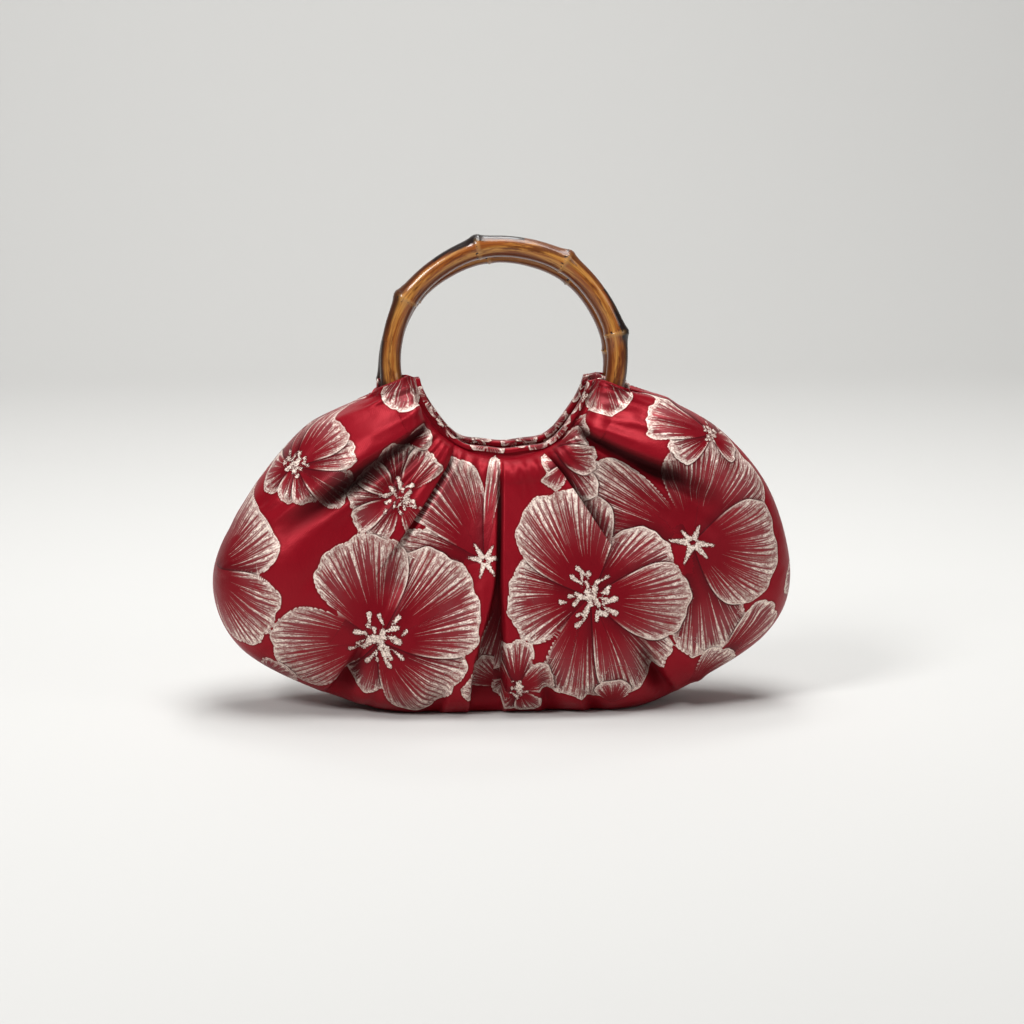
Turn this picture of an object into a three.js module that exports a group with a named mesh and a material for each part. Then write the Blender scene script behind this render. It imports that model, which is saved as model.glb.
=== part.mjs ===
// A handbag of flowered satin, pleated onto two bamboo rings.
// Sizes are in millimetres, +Z is up, the front faces -Y and the bag stands on z = 0.
import * as THREE from "three";

const { sin, cos, abs, max, min, sqrt, hypot, atan2, floor, exp, PI } = Math;
const deg = PI / 180;

// Driving sizes
const wall = 1.6; // brocade with its backing
const gap = 0.3; // air between sewn pieces
const ring = { radius: 58.1, tube: 5.3, z: 180.5, y: 10.3, lean: 3.65 * deg, sides: 9 };
const knot = { count: 8, tall: 0.8, kink: 0.8, spread: 3.5 }; // the swollen joints of the bamboo, spread in degrees
const casing = { clear: 0.9, flat: 49.6, tab: 67.2, hem: 72 }; // radii
const ends = { left: -82, right: 79, slant: 0.955 }; // angles of the tabs at the mouth, less by slant outside
const panelGrid = { across: 50, down: 14 };
const band = { inner: 44, wide: 3.2, most: 49.2, lap: 1.2, thick: 0.9, steps: 22 };
const corner = { angle: 27, deep: 3, within: 11, beyond: 16 }; // where the pleats draw the mouth edge down
const sides = [
  { name: "front", mirror: 1, drop: 0, firstKnot: 13 },
  { name: "back", mirror: -1, drop: 4.5, firstKnot: 7 }, // this ring sits lower in its casing
];
const colour = { brocade: 0xa8323c, facing: 0x8c2430, bamboo: 0xb07a34 };

// One row per section, from the left tab round the foot to the right tab. x and z place the seam, mouth is the angle
// on the mouth edge, apart is 1 where front and back part. lead and swell shape the cloth below the mouth, full and
// sag shape it above the seam.
const columns = ["x", "z", "mouth", "apart", "lead", "swell", "full", "sag"];
const sections = [
  [-66, 167, -82, 1, 3, 12, 11, 0],
  [-79, 157, -74, 0, 8, 13, 17, 0],
  [-103, 144.5, -66, 0, 16, 14, 29, 0],
  [-131.5, 110, -58, 0, 24, 16, 42, 0],
  [-150, 69, -49, 0, 30, 18, 52, 0],
  [-138, 33, -39, 0, 34, 19, 58, 2],
  [-98, 10.5, -29, 0, 36, 19, 64, 8],
  [-54, 0, -16, 0, 36, 19, 69, 15],
  [3, 0, 0, 0, 36, 19, 72, 17],
  [64, 0, 15, 0, 36, 19, 69, 15],
  [101, 12.5, 26, 0, 36, 19, 64, 8],
  [138, 36, 37, 0, 34, 19, 58, 2],
  [150, 66, 47, 0, 30, 18, 52, 0],
  [139, 110, 56, 0, 24, 16, 42, 0],
  [113, 142, 65, 0, 16, 14, 29, 0],
  [82, 159.5, 73.5, 0, 8, 13, 17, 0],
  [66.5, 167, 79, 1, 3, 12, 11, 0],
].map((row) => Object.fromEntries(columns.map((name, i) => [name, row[i]])));

// Pleats, by their angle on the mouth edge. lean is how many degrees further out they run below, side is where the
// raised lip lies, 0 for a slit between two lips, and reach is how far down the section the lip fades out.
const pleats = [
  { mouth: -66, lean: 0, side: -1, depth: 2.5, width: 18, reach: 0.5 },
  { mouth: -54.5, lean: 0, side: -1, depth: 6, width: 34, reach: 0.65 },
  { mouth: -30.5, lean: 0, side: -1, depth: 5, width: 26, reach: 0.45 },
  { mouth: -3, lean: 0, side: 0, depth: 5, width: 22, reach: 0.8 },
  { mouth: 21.5, lean: 7, side: 1, depth: 5, width: 26, reach: 0.5 },
  { mouth: 44, lean: 7, side: 1, depth: 6.5, width: 36, reach: 0.6 },
  { mouth: 66, lean: 0, side: 1, depth: 2.5, width: 18, reach: 0.5 },
];

// Tucks that draw the cloth in above the foot.
const tucks = [
  { mouth: -26.5, depth: 6, width: 11, from: 0.55 },
  { mouth: -4, depth: 8, width: 12, from: 0.42 },
  { mouth: 23, depth: 6, width: 11, from: 0.55 },
];

// The ring's own frame: angle 0 is straight down, r runs out from the middle and n is towards the front.
const up = new THREE.Vector3(0, sin(ring.lean), cos(ring.lean));
const ahead = new THREE.Vector3(0, -cos(ring.lean), sin(ring.lean));
const middle = new THREE.Vector3(0, -ring.y, ring.z);
function onRing(angle, r, n, drop = 0) {
  const p = middle.clone().addScaledVector(up, -r * cos(angle) - drop).addScaledVector(ahead, n);
  p.x += r * sin(angle);
  return p;
}

// The mouth edge isn't quite round: it lies lower in the middle and at the two corners.
function mouthRadius(angle) {
  const a = angle / deg;
  const out = (abs(a) - corner.angle) / (abs(a) < corner.angle ? corner.within : corner.beyond);
  return band.inner + corner.deep * exp(-out * out) + exp(-((a / 14) ** 2));
}

const smooth = (a, b, x) => {
  const s = min(1, max(0, (x - a) / (b - a)));
  return s * s * (3 - 2 * s);
};

function sectionAt(u) {
  const place = ((u + 1) / 2) * (sections.length - 1);
  const i = min(max(floor(place), 0), sections.length - 2);
  const s = place - i;
  const [a, b, c, d] = [-1, 0, 1, 2].map((k) => sections[min(max(i + k, 0), sections.length - 1)]);
  const blend = (n) =>
    b[n] + 0.5 * s * (c[n] - a[n] + s * (2 * a[n] - 5 * b[n] + 4 * c[n] - d[n] + s * (3 * (b[n] - c[n]) + d[n] - a[n])));
  return Object.fromEntries(columns.map((n) => [n, blend(n)]));
}

// Half the depth of a tunnel that clears the ring by this much.
function tunnel(r, angle, drop, clear) {
  const off = r - ring.radius - drop * cos(angle);
  return sqrt(max(0, (ring.tube + knot.tall + clear) ** 2 - off * off));
}

// The outside of a panel before pleating. t runs from -1 at the mouth edge, over the band to 0, and to 1 at the seam.
function drape(u, t, drop) {
  const s = sectionAt(u);
  const angle = s.mouth * deg;
  const lift = wall + gap / 2;
  if (t < 0) return onRing(angle, casing.flat + t * (casing.flat - mouthRadius(angle) - band.lap), lift);
  const start = onRing(angle, casing.flat, lift);
  const tab = onRing(angle * ends.slant, casing.tab, gap + 0.8);
  const seam = new THREE.Vector3(s.x, -gap / 2, s.z).lerp(tab, min(1, max(0, s.apart)));
  const along = seam.clone().sub(start).projectOnPlane(ahead).normalize();
  const first = start.clone().addScaledVector(along, s.lead).addScaledVector(ahead, s.swell);
  const last = seam.clone().add(new THREE.Vector3(0, -s.full, -s.sag));
  const p = new THREE.CubicBezierCurve3(start, first, last, seam).getPoint(min(1, t));
  const rel = p.clone().sub(middle);
  const r = hypot(rel.x, rel.dot(up));
  const n = rel.dot(ahead);
  const need = tunnel(r, atan2(rel.x, -rel.dot(up)), drop, casing.clear + wall);
  if (need > 0) p.addScaledVector(ahead, (need - n + hypot(need - n, 0.6)) / 2);
  p.z = max(0, p.z);
  return p;
}

function outward(u, t, drop) {
  const h = 2e-3;
  const du = drape(min(1, u + h), t, drop).sub(drape(max(-1, u - h), t, drop));
  const dt = drape(u, min(1, t + h), drop).sub(drape(u, max(-1, t - h), drop));
  return du.cross(dt).normalize().negate();
}

const spread = (u, t, drop) => drape(u + 0.01, t, drop).distanceTo(drape(u - 0.01, t, drop)) / 0.02;

function uAtMouth(angle) {
  let [low, high] = [-1, 1];
  for (let i = 0; i < 40; i++) {
    const mid = (low + high) / 2;
    if (sectionAt(mid).mouth < angle) low = mid;
    else high = mid;
  }
  return low;
}
for (const fold of [...pleats, ...tucks]) fold.u = uAtMouth(fold.mouth);

// Where a column that leaves the mouth at u runs further down.
const leans = [{ u: -1, by: 0 }, ...pleats.map((p) => ({ u: p.u, by: uAtMouth(p.mouth + p.lean) - p.u })), { u: 1, by: 0 }];
function leaning(u, t) {
  const i = max(1, leans.findIndex((k) => k.u >= u));
  const [a, b] = [leans[i - 1], leans[i]];
  return u + (a.by + ((b.by - a.by) * (u - a.u)) / (b.u - a.u)) * min(1, max(0, t) / 0.4);
}

// How far pleats and tucks move the cloth outward, in the column u that has come to v.
function relief(u, v, t, drop) {
  let d = 0;
  for (const p of pleats) {
    const across = (u - p.u) * spread(p.u, max(0, t), drop);
    const x = p.side ? across * p.side : abs(across) - 0.6;
    const lip = x > 0 ? max(0, 1 - x / p.width) ** 2 : 0;
    d += p.depth * lip * smooth(0, 0.08, t) * (1 - smooth(p.reach * 0.45, p.reach, t));
  }
  for (const k of tucks) {
    const across = (v - k.u) * spread(k.u, max(0, t), drop);
    d -= k.depth * exp(-((across / k.width) ** 2)) * smooth(k.from, 0.76, t) * (1 - smooth(0.76, 0.86, t));
  }
  return d;
}

// A closed skin over a row of sections, each an outer line and back along an inner one. A row that isn't a ring is capped.
function loft(rows, closed = false) {
  const n = rows[0].length;
  const faces = [];
  const quad = (a, b, c, d) => faces.push([a, b, c], [a, c, d]);
  for (let i = 0; i < rows.length - (closed ? 0 : 1); i++) {
    const [a, b] = [i * n, ((i + 1) % rows.length) * n];
    for (let k = 0; k < n; k++) quad(a + k, a + ((k + 1) % n), b + ((k + 1) % n), b + k);
  }
  const end = (rows.length - 1) * n;
  for (let k = 0; k < (closed ? 0 : n / 2 - 1); k++) {
    quad(k, n - 1 - k, n - 2 - k, k + 1);
    quad(end + k, end + k + 1, end + n - 2 - k, end + n - 1 - k);
  }
  const points = rows.flat();
  const volume = faces.reduce((v, [a, b, c]) => v + points[a].dot(points[b].clone().cross(points[c])), 0);
  const index = (volume < 0 ? faces.map(([a, b, c]) => [a, c, b]) : faces).flat();
  const geometry = new THREE.BufferGeometry().setFromPoints(points);
  geometry.setIndex(index);
  geometry.computeVertexNormals();
  return geometry;
}

const range = (n, f) => Array.from({ length: n + 1 }, (_, i) => f(i / n));
const wallLoop = (outer, inner) => [...outer, ...inner.reverse()];
const alongMouth = (s) => (ends.left + (ends.right - ends.left) * s) * deg;

// Columns of a panel: even steps along mouth and seam together, and close ones at each pleat's lip.
const lips = pleats.flatMap((p) => (p.side ? [-1, 1] : [-1, 0, 1]).map((k) => p.u + k * 0.006));
const fine = range(400, (s) => 2 * s - 1);
const reachOf = fine.map((u) => [drape(u, 0, 0), drape(u, 1, 0)]);
const walked = [0];
for (let i = 1; i < fine.length; i++) {
  const step = (k) => reachOf[i][k].distanceTo(reachOf[i - 1][k]);
  walked.push(walked[i - 1] + 2 * step(0) + step(1));
}
const even = range(panelGrid.across, (s) => fine[walked.findIndex((w) => w >= s * walked.at(-1) - 1e-6)])
  .filter((u) => abs(u) === 1 || lips.every((v) => abs(u - v) > 0.011));
const panelColumns = [...even, ...lips].sort((a, b) => a - b);
const panelRows = [-1, 0, ...range(panelGrid.down, (s) => (s ** 1.6 + smooth(0, 1, s)) / 2).slice(1)];

function panel(side) {
  return loft(
    panelColumns.map((u) => {
      const outer = [];
      const inner = [];
      for (const t of panelRows) {
        const v = leaning(u, t);
        const n = outward(v, t, side.drop);
        const p = drape(v, t, side.drop).addScaledVector(n, relief(u, v, t, side.drop));
        p.z = max(0, p.z);
        outer.push(p);
        inner.push(p.clone().addScaledVector(n, -wall));
      }
      return wallLoop(outer, inner);
    }),
  );
}

function facing(side) {
  return loft(
    range(band.steps, (s) => {
      const angle = alongMouth(s);
      const hem = casing.hem - (casing.hem - casing.tab + wall) * (2 * s - 1) ** 4; // inside the panel at the tabs
      const edge = mouthRadius(angle) + band.lap;
      const middleR = ring.radius + side.drop * cos(angle);
      const radii = [edge, casing.flat, middleR - 5.6, middleR - 3, middleR, middleR + 3, middleR + 5.6, hem];
      const line = (thick) =>
        radii.map((r) => onRing(angle, r, -max(gap / 2 + thick, tunnel(r, angle, side.drop, casing.clear + thick))));
      return wallLoop(line(wall), line(0));
    }),
  );
}

function mouthBand() {
  const leg = 2 * wall + gap;
  return loft(
    range(band.steps, (s) => {
      const angle = alongMouth(s);
      const inner = mouthRadius(angle);
      const outer = min(band.most, inner + band.wide);
      const line = (thick) =>
        [[outer, 1], [inner + band.thick - thick, 1], [inner + band.thick - thick, -1], [outer, -1]]
          .map(([r, front]) => onRing(angle, r, front * (leg / 2 + gap + thick)));
      return wallLoop(line(band.thick), line(0));
    }),
  );
}

// The cane swells and kinks outward at each knot.
const knotSteps = [-1, 0, 1, 3, 6.4, 9.8]; // in knot spreads from a knot
function bambooRing(side) {
  const rows = [];
  for (let k = 0; k < knot.count; k++) {
    for (const step of knotSteps) {
      const away = abs(step > 6.5 ? step - 360 / knot.count / knot.spread : step);
      const bump = 1 / (1 + away ** 2);
      const angle = (side.firstKnot + 90 + (k * 360) / knot.count + step * knot.spread) * deg;
      const tube = ring.tube + knot.tall * bump;
      const radius = ring.radius + knot.kink * (1 / (1 + away * 0.35) - 0.4);
      rows.push(
        range(ring.sides, (s) => s * 2 * PI).slice(1)
          .map((a) => onRing(angle, radius + tube * cos(a), tube * sin(a), side.drop)),
      );
    }
  }
  return loft(rows, true);
}

const group = new THREE.Group();
function add(name, geometry, mirror, color, roughness) {
  if (mirror < 0) {
    geometry.scale(1, -1, 1);
    const index = geometry.index.array;
    for (let i = 0; i < index.length; i += 3) [index[i + 1], index[i + 2]] = [index[i + 2], index[i + 1]];
    geometry.computeVertexNormals();
  }
  const mesh = new THREE.Mesh(geometry, new THREE.MeshStandardMaterial({ color, roughness, metalness: 0 }));
  mesh.name = name;
  group.add(mesh);
}
for (const side of sides) {
  add(`${side.name}_panel`, panel(side), side.mirror, colour.brocade, 0.5);
  add(`${side.name}_facing`, facing(side), side.mirror, colour.facing, 0.6);
  add(`${side.name}_mouth_band`, mouthBand(), side.mirror, colour.brocade, 0.5);
  add(`${side.name}_ring`, bambooRing(side), side.mirror, colour.bamboo, 0.3);
}

export default group;
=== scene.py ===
import math

import bmesh
import bpy
import numpy as np
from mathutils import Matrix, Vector


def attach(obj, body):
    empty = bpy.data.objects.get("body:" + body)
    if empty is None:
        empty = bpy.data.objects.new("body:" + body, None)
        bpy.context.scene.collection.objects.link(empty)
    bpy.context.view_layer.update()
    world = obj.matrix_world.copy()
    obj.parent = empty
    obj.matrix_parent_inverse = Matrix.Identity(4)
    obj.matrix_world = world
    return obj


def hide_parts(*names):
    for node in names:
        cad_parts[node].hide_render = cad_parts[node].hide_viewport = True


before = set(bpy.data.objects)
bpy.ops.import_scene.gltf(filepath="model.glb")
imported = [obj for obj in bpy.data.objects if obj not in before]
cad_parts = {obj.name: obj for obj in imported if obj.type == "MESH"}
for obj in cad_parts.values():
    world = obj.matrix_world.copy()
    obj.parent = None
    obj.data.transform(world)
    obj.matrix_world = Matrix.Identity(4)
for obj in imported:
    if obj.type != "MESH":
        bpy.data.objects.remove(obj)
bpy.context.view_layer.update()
mm = 0.001  # shapes are worked out in millimetres, meshes are in metres
print("frame loaded")


# Short ways to make things

def addObject(name, data):
    thing = bpy.data.objects.new(name, data)
    bpy.context.scene.collection.objects.link(thing)
    return thing


def shadeSmooth(mesh):
    mesh.polygons.foreach_set("use_smooth", [True] * len(mesh.polygons))


def setMarks(mesh, marks):
    for key, values in marks.items():
        mark = mesh.attributes.new(key, "FLOAT_VECTOR", "POINT")
        mark.data.foreach_set("vector", np.ascontiguousarray(values, dtype=np.float32).ravel())


class Net:
    # a node tree with short ways to fill it

    def __init__(self, tree):
        self.tree = tree

    def feed(self, socket, value):
        if isinstance(value, bpy.types.NodeSocket):
            self.tree.links.new(value, socket)
        else:
            socket.default_value = value

    def add(self, kind, inputs=None, **settings):
        node = self.tree.nodes.new(kind)
        for key, value in settings.items():
            setattr(node, key, value)
        for key, value in (inputs or {}).items():
            self.feed(node.inputs[key], value)
        return node

    def calc(self, operation, *values, clamp=False):
        inputs = dict(enumerate(values))
        return self.add("ShaderNodeMath", inputs, operation=operation, use_clamp=clamp).outputs[0]

    def times(self, first, *others):
        for value in others:
            first = self.calc("MULTIPLY", first, value)
        return first

    def minus(self, a, b):
        return self.calc("SUBTRACT", a, b)

    def scaled(self, value, by, plus):
        return self.calc("MULTIPLY_ADD", value, by, plus)

    def ease(self, value, low, high, start=0.0, end=1.0):
        inputs = dict(enumerate((value, low, high, start, end)))
        return self.add("ShaderNodeMapRange", inputs, interpolation_type="SMOOTHSTEP").outputs[0]

    def mix(self, amount, a, b):
        inputs = {0: amount, 6: a, 7: b}  # the node's colour sockets
        return self.add("ShaderNodeMix", inputs, data_type="RGBA", clamp_factor=True).outputs[2]

    def triple(self, *values):
        return self.add("ShaderNodeCombineXYZ", dict(enumerate(values))).outputs[0]

    def mark(self, name):
        vector = self.add("ShaderNodeAttribute", attribute_name=name).outputs["Vector"]
        return vector, self.add("ShaderNodeSeparateXYZ", {0: vector}).outputs

    def grain(self, vector, scale, detail=2.0, rough=0.5):
        inputs = {"Vector": vector, "Scale": scale, "Detail": detail, "Roughness": rough}
        return self.add("ShaderNodeTexNoise", inputs, noise_dimensions="3D").outputs[0]


def newGroup(name, kind, inputs, outputs):
    tree = bpy.data.node_groups.new(name, kind)
    for label, socketKind, *value in inputs:
        socket = tree.interface.new_socket(label, in_out="INPUT", socket_type=socketKind)
        if value:
            socket.default_value = value[0]
    for label, socketKind in outputs:
        tree.interface.new_socket(label, in_out="OUTPUT", socket_type=socketKind)
    net = Net(tree)
    return net, net.add("NodeGroupInput").outputs, net.add("NodeGroupOutput").inputs


def newMaterial(name):
    material = bpy.data.materials.new(name)
    material.use_nodes = True
    return material, Net(material.node_tree), material.node_tree.nodes["Principled BSDF"].inputs


# Camera, floor and light

photo = {
    "lens": 120, "sensor": 36, "clipEnd": 40,
    "at": (-116.8, -1738.3, 396.4),  # mm
    "azimuth": -4.0,
    "elevation": 9.65,
}


def addCamera(view):
    data = bpy.data.cameras.new("photoCamera")
    data.lens = view["lens"]
    data.sensor_width = view["sensor"]
    data.clip_end = view["clipEnd"]
    camera = addObject("photoCamera", data)
    az, el = math.radians(view["azimuth"]), math.radians(view["elevation"])
    ahead = Vector((-math.sin(az) * math.cos(el), math.cos(az) * math.cos(el), -math.sin(el)))
    camera.location = Vector(view["at"]) * mm
    camera.rotation_euler = ahead.to_track_quat("-Z", "Y").to_euler()
    bpy.context.scene.camera = camera


studio = {
    "floorColour": (0.57, 0.565, 0.55, 1),
    "floorRough": 0.85,
    "worldColour": (0.80, 0.81, 0.79, 1),
    "worldStrength": 0.13,
    "lights": [  # name, place in metres, aim, size, watts
        ("overhead", (0.12, -0.2, 1.5), (0, 0, 0.08), 0.8, 19.5),
        ("keyLeft", (-1.0, -1.1, 1.35), (0, 0, 0.1), 0.5, 21),
        ("fillRight", (1.6, -1.0, 0.8), (0, 0, 0.1), 0.8, 4.5),
        ("behindAbove", (0.1, 0.5, 1.15), (0, 0, 0.2), 0.25, 2.6),
        ("wallWash", (0, 0.5, 1.8), (0, 2.1, 0.9), 1.2, 28),
    ],
    "backdrop": {"depth": 1.3, "bend": 0.8, "height": 3.0, "half": 4.0, "front": -3.0, "steps": 24},
}


def addStudio(s):
    b = s["backdrop"]
    arc = [i / b["steps"] * math.pi / 2 for i in range(b["steps"] + 1)]
    profile = [(b["front"], 0)]
    profile += [(b["depth"] + b["bend"] * math.sin(a), b["bend"] * (1 - math.cos(a))) for a in arc]
    profile.append((b["depth"] + b["bend"], b["height"]))
    points = [(x, y, z) for y, z in profile for x in (-b["half"], b["half"])]
    faces = [(2 * i, 2 * i + 1, 2 * i + 3, 2 * i + 2) for i in range(len(profile) - 1)]
    mesh = bpy.data.meshes.new("floor")
    mesh.from_pydata(points, [], faces)
    shadeSmooth(mesh)
    floor = addObject("floor", mesh)
    paper, _, shader = newMaterial("palePaper")
    shader["Base Color"].default_value = s["floorColour"]
    shader["Roughness"].default_value = s["floorRough"]
    mesh.materials.append(paper)
    world = bpy.data.worlds.new("softRoom")
    world.use_nodes = True
    sky = world.node_tree.nodes["Background"]
    sky.inputs["Color"].default_value = s["worldColour"]
    sky.inputs["Strength"].default_value = s["worldStrength"]
    bpy.context.scene.world = world
    for name, place, aim, size, watts in s["lights"]:
        lamp = bpy.data.lights.new(name, "AREA")
        lamp.size = size
        lamp.energy = watts
        holder = addObject(name, lamp)
        holder.location = place
        holder.rotation_euler = (Vector(aim) - Vector(place)).to_track_quat("-Z", "Y").to_euler()
    bpy.context.scene.view_settings.view_transform = "Standard"


addCamera(photo)
addStudio(studio)
print("camera and studio set")


# Shape of the bag, in the same sizes as its solids

ring = {
    "radius": 58.1, "tube": 5.3, "z": 180.5, "y": 10.3, "lean": math.radians(3.65),
    "knots": 8, "knotTall": 0.8, "knotKink": 0.8, "knotSpread": 3.5, "knotShown": 1.35, "bareKink": 1.4,
}
sides = {  # the back ring sits lower and the cloth is drawn less far round it
    "front": {"mirror": 1, "drop": 0.0, "firstKnot": 13, "left": -82},
    "back": {"mirror": -1, "drop": 4.5, "firstKnot": 7, "left": -77},
}
casing = {
    "clear": 0.9, "flat": 49.6, "tab": 67.2, "tabLift": 0.8, "hem": 72,
    "skirt": 19, "skirtEnds": (0.4, 0.75),
    "soft": 0.6, "softer": 1.6, "softBy": 10,  # how gently the cloth leaves the ring
}
ends = {"left": -82, "right": 79, "slant": 0.955, "from": -66}
band = {"inner": 44, "wide": 2.4, "most": 49.2, "lap": 1.2, "thick": 0.9, "crown": 1.1, "dent": 14}
corner = {
    "angle": 27, "deep": 3, "within": 11, "beyond": 16, "cut": 3.5, "near": (72, 82), "inside": (51, 44),
}
cloth = {"wall": 1.6, "gap": 0.3, "seam": 0.03, "leans": 0.4, "sinks": (0.18, 0.34)}
ringUp = np.array([0, math.sin(ring["lean"]), math.cos(ring["lean"])])
ringAhead = np.array([0, -math.cos(ring["lean"]), math.sin(ring["lean"])])
ringMiddle = np.array([0, -ring["y"], ring["z"]])

sectionColumns = ["x", "z", "mouth", "apart", "lead", "swell", "full", "sag"]
sectionRows = np.array([  # left tab, round the foot, to the right tab
    [-66, 167, -82, 1, 3, 12, 11, 0],
    [-79, 157, -74, 0, 8, 13, 17, 0],
    [-103, 144.5, -66, 0, 16, 14, 29, 0],
    [-131.5, 110, -58, 0, 24, 16, 42, 0],
    [-150, 69, -49, 0, 30, 18, 52, 0],
    [-138, 33, -39, 0, 34, 19, 58, 2],
    [-98, 10.5, -29, 0, 36, 19, 64, 8],
    [-54, 0, -16, 0, 36, 19, 69, 15],
    [3, 0, 0, 0, 36, 19, 72, 17],
    [64, 0, 15, 0, 36, 19, 69, 15],
    [101, 12.5, 26, 0, 36, 19, 64, 8],
    [138, 36, 37, 0, 34, 19, 58, 2],
    [150, 66, 47, 0, 30, 18, 52, 0],
    [139, 110, 56, 0, 24, 16, 42, 0],
    [113, 142, 65, 0, 16, 14, 29, 0],
    [82, 159.5, 73.5, 0, 8, 13, 17, 0],
    [66.5, 167, 79, 1, 3, 12, 11, 0],
])

pleatColumns = ["mouth", "lean", "side", "depth", "rise", "width", "reach", "dip", "crest", "overlap"]
pleatRows = [  # side is where the raised roll lies, 0 for the slit; rise 0 is a sharp fold
    [-50.5, 0, -1, 12, 8, 46, 0.64, 8.0, 1.5, 0],
    [-31.3, 0, -1, 6.5, 0, 20, 0.44, 2.6, 3.0, 2.2],
    [-3, 0, 0, 4.5, 0, 22, 0.8, 0, 0, 1.2],
    [22, 5, -1, 7.0, 0, 22, 0.43, 5.0, 4.0, 2.2],
    [45.5, 6, 1, 12, 6, 44, 0.6, 7.0, 2.5, 0],
]
pleats = [dict(zip(pleatColumns, row)) for row in pleatRows]
lipSteps = [(0, 0), (0.02, 0.8), (0.2, 0.3), (0.42, -0.6), (0.64, -1)]  # rise and slide across a sharp fold

slit = {  # how the middle slit opens towards the foot
    "half": 1.4, "left": 10.0, "right": 3.2, "opens": (0.33, 0.66), "shuts": (0.74, 0.88),
    # lit is how much of the painted shade is taken away inside the open slit, so the flower in it shows
    "deep": 3.5, "deeper": 9.0, "lit": 0.45,
}

tuckColumns = ["mouth", "depth", "near", "far", "from", "most", "until"]
tuckRows = [  # near and far are how wide the groove is towards the left and right
    [-27.6, 13, 1.6, 9, 0.54, 0.77, 0.95],
    [-11, 4.0, 7, 1.6, 0.55, 0.76, 0.9],
    [4.6, 6.0, 1.6, 8, 0.55, 0.74, 0.9],
    [10.5, 4.0, 1.6, 6, 0.62, 0.77, 0.9],
    [22.3, 13, 9, 1.6, 0.52, 0.75, 0.94],
]
tucks = [dict(zip(tuckColumns, row)) for row in tuckRows]

gatherColumns = ["mouth", "height", "width", "reach"]
gatherRows = [  # small ridges where the cloth is drawn onto the casing
    [-75, 1.8, 2.6, 0.4], [-69, 2.2, 2.8, 0.36], [-62, 2.0, 3, 0.3], [-48, 2.6, 2.0, 0.34],
    [-44, 3.0, 2.2, 0.42], [-40, 2.6, 1.8, 0.3], [-36.5, 3.0, 2.2, 0.38], [-33.5, 2.0, 1.6, 0.26],
    [-26, 1.8, 2.4, 0.26], [-19, 1.6, 3, 0.22], [-11, 1.2, 2.4, 0.16], [5, 1.4, 2.6, 0.18],
    [11, 1.8, 2.6, 0.22], [17, 1.6, 2.4, 0.2], [25.5, 2.4, 1.8, 0.3], [29, 3.0, 2.0, 0.4],
    [33, 2.6, 2.0, 0.32], [37, 3.0, 2.2, 0.38], [41, 2.4, 2.0, 0.3], [52, 2.4, 3, 0.36],
    [58, 2.2, 3.2, 0.4], [65, 2.4, 3.2, 0.42], [71, 1.8, 2.6, 0.36], [76, 1.4, 2.4, 0.3],
]
gathers = [dict(zip(gatherColumns, row)) for row in gatherRows]

puffColumns = ["mouth", "down", "height", "across", "along"]
puffRows = [  # where the cloth stands fuller between the folds
    [-43, 0.58, 6.5, 24, 0.12], [-19, 0.66, 3.5, 28, 0.14], [12, 0.62, 3.5, 26, 0.14],
    [35, 0.48, 5.5, 26, 0.12], [-16, 0.30, 2.0, 18, 0.12], [12, 0.30, 2.0, 18, 0.12],
    [60, 0.5, 2.5, 26, 0.14], [-28.6, 0.43, -3.2, 6, 0.07],
]
puffs = [dict(zip(puffColumns, row)) for row in puffRows]

wrinkle = {  # short creases that run down the cloth, made by a fixed seed
    "count": 90, "seed": 5, "from": 0.06, "to": 0.92, "height": 1.5, "narrow": 2.4, "wide": 6.0,
    "short": 0.05, "long": 0.15,
}


def wrinkleList(w):
    pick = np.random.default_rng(w["seed"])
    rows = []
    for _ in range(w["count"]):
        rows.append({
            "u": pick.uniform(-0.97, 0.97), "down": pick.uniform(w["from"], w["to"]),
            "height": w["height"] * pick.uniform(-1, 1), "across": pick.uniform(w["narrow"], w["wide"]),
            "along": pick.uniform(w["short"], w["long"]),
        })
    return rows


wrinkles = wrinkleList(wrinkle)
panelGrid = {"across": 452, "down": 184, "strip": 4, "coarse": 5, "clear": 4e-4, "crease": 1e-5, "keep": 8}
paintedShade = {  # painted shade: how much darker the cloth is painted where it lies lower than its neighbours
    "near": 9, "far": 22, "farShare": 0.8, "sunk": (0.6, 6), "top": (0.0, 0.06),
    "footLess": 0.45, "foot": (0.5, 0.7),
}


def smoothStep(low, high, x):
    s = np.clip((x - low) / (high - low), 0, 1)
    return s * s * (3 - 2 * s)


def bell(x):
    return np.exp(-(x * x))


def onRing(angle, r, n, drop=0.0):
    angle, r, n = np.broadcast_arrays(angle, r, n)
    p = ringMiddle + (-r * np.cos(angle) - drop)[..., None] * ringUp + n[..., None] * ringAhead
    p[..., 0] += r * np.sin(angle)
    return p


def roundCorner(angle, r):
    # the tabs are cut back at their inner corners
    a = np.degrees(np.abs(angle))
    cut = np.radians(corner["cut"]) * smoothStep(*corner["near"], a) * smoothStep(*corner["inside"], r)
    return angle - np.sign(angle) * cut


def mouthRadius(angle):
    a = np.degrees(angle)
    side = np.where(np.abs(a) < corner["angle"], corner["within"], corner["beyond"])
    out = (np.abs(a) - corner["angle"]) / side
    return band["inner"] + corner["deep"] * bell(out) + bell(a / band["dent"])


def sectionsAt(u):
    place = np.clip((u + 1) / 2, 0, 1) * (len(sectionRows) - 1)
    i = np.clip(np.floor(place).astype(int), 0, len(sectionRows) - 2)
    s = (place - i)[..., None]
    a, b, c, d = (sectionRows[np.clip(i + k, 0, len(sectionRows) - 1)] for k in (-1, 0, 1, 2))
    row = b + 0.5 * s * (c - a + s * (2 * a - 5 * b + 4 * c - d + s * (3 * (b - c) + d - a)))
    return dict(zip(sectionColumns, np.moveaxis(row, -1, 0)))


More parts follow.
